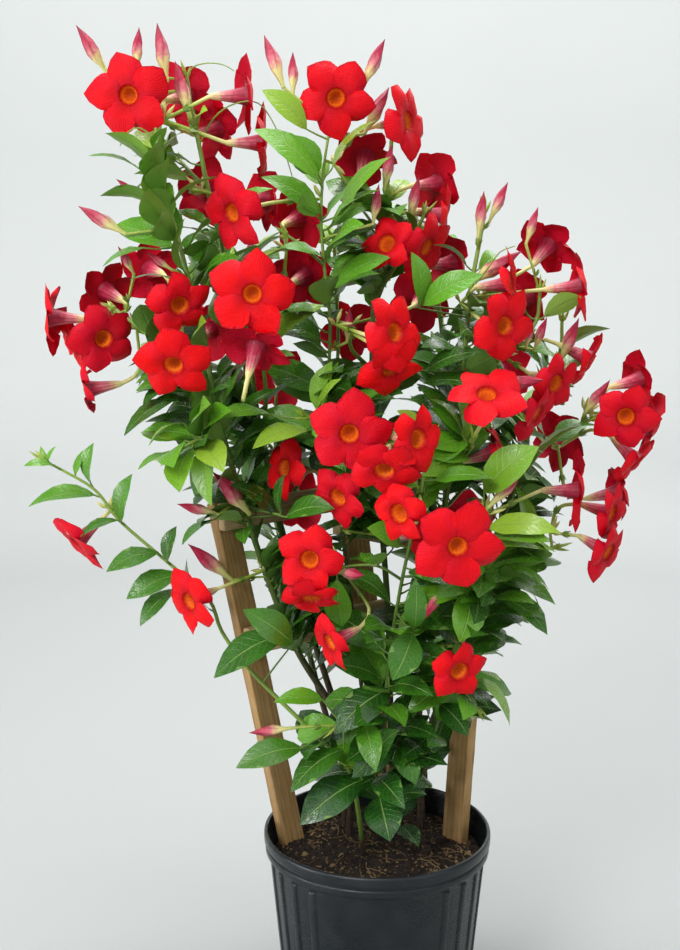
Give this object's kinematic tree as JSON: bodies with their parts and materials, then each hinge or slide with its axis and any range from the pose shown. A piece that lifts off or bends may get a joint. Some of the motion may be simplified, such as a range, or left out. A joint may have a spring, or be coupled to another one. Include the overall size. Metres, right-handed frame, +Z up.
{
  "type": "potted climbing plant",
  "caption": "Red flowering mandevilla vine in a round ribbed nursery pot, its stems trained up a tripod of wooden stakes tied with laths, with glossy leaves and funnel-shaped flowers.",
  "frame": {"origin": "centre of the pot's underside, on the ground", "axes": "+Z up, -Y towards the front of the plant, +X to the right as the front is looked at"},
  "size_m": [0.7505, 0.4783, 1.2006],
  "materials": {
    "pot": "satin black nursery plastic",
    "soil": "loose bark potting mix",
    "stake": "rough sawn brown wood",
    "lath": "sawn pale wood",
    "leafy_stem": "glossy green leaves on satin stems",
    "bloom": "satin red petals"
  },
  "bodies": {
    "root": {"bloom_back_left": "bloom", "bloom_back_left_edge": "bloom", "bloom_back_low": "bloom", "bloom_back_right": "bloom", "bloom_back_upper": "bloom", "bloom_centre_left": "bloom", "bloom_centre_left_shaded": "bloom", "bloom_centre_low": "bloom", "bloom_centre_right": "bloom", "bloom_centre_shaded": "bloom", "bloom_far_right_back": "bloom", "bloom_far_right_front": "bloom", "bloom_far_right_low": "bloom", "bloom_front_large": "bloom", "bloom_left_far": "bloom", "bloom_left_near": "bloom", "bloom_left_pair": "bloom", "bloom_lower_front": "bloom", "bloom_lower_left_cluster": "bloom", "bloom_lower_left_outer": "bloom", "bloom_lower_right": "bloom", "bloom_lower_right_side": "bloom", "bloom_middle_left_front": "bloom", "bloom_middle_right_front": "bloom", "bloom_right_edge": "bloom", "bloom_right_upper_edge": "bloom", "bloom_right_upper_front": "bloom", "bloom_right_upward": "bloom", "bloom_spray_end": "bloom", "bloom_top_left_back": "bloom", "bloom_top_left_front": "bloom", "bloom_top_left_right": "bloom", "bloom_top_middle": "bloom", "bloom_top_right": "bloom", "bloom_upper_left_back": "bloom", "bloom_upper_left_front": "bloom", "bloom_upper_middle_back": "bloom", "bloom_upper_right_edge": "bloom", "bloom_upper_right_front": "bloom", "lath_left_lower": "lath", "lath_left_upper": "lath", "lath_right_lower": "lath", "lath_right_upper": "lath", "leafy_stem_back_left": "leafy_stem", "leafy_stem_back_right": "leafy_stem", "leafy_stem_front_centre": "leafy_stem", "leafy_stem_left": "leafy_stem", "leafy_stem_lower_right": "leafy_stem", "leafy_stem_outer_right": "leafy_stem", "leafy_stem_right": "leafy_stem", "leafy_stem_spray": "leafy_stem", "leafy_stem_top_centre": "leafy_stem", "leafy_stem_top_left": "leafy_stem", "leafy_stem_top_right": "leafy_stem", "pot": "pot", "soil": "soil", "stake_back": "stake", "stake_left": "stake", "stake_right": "stake"}
  },
  "joints": []
}
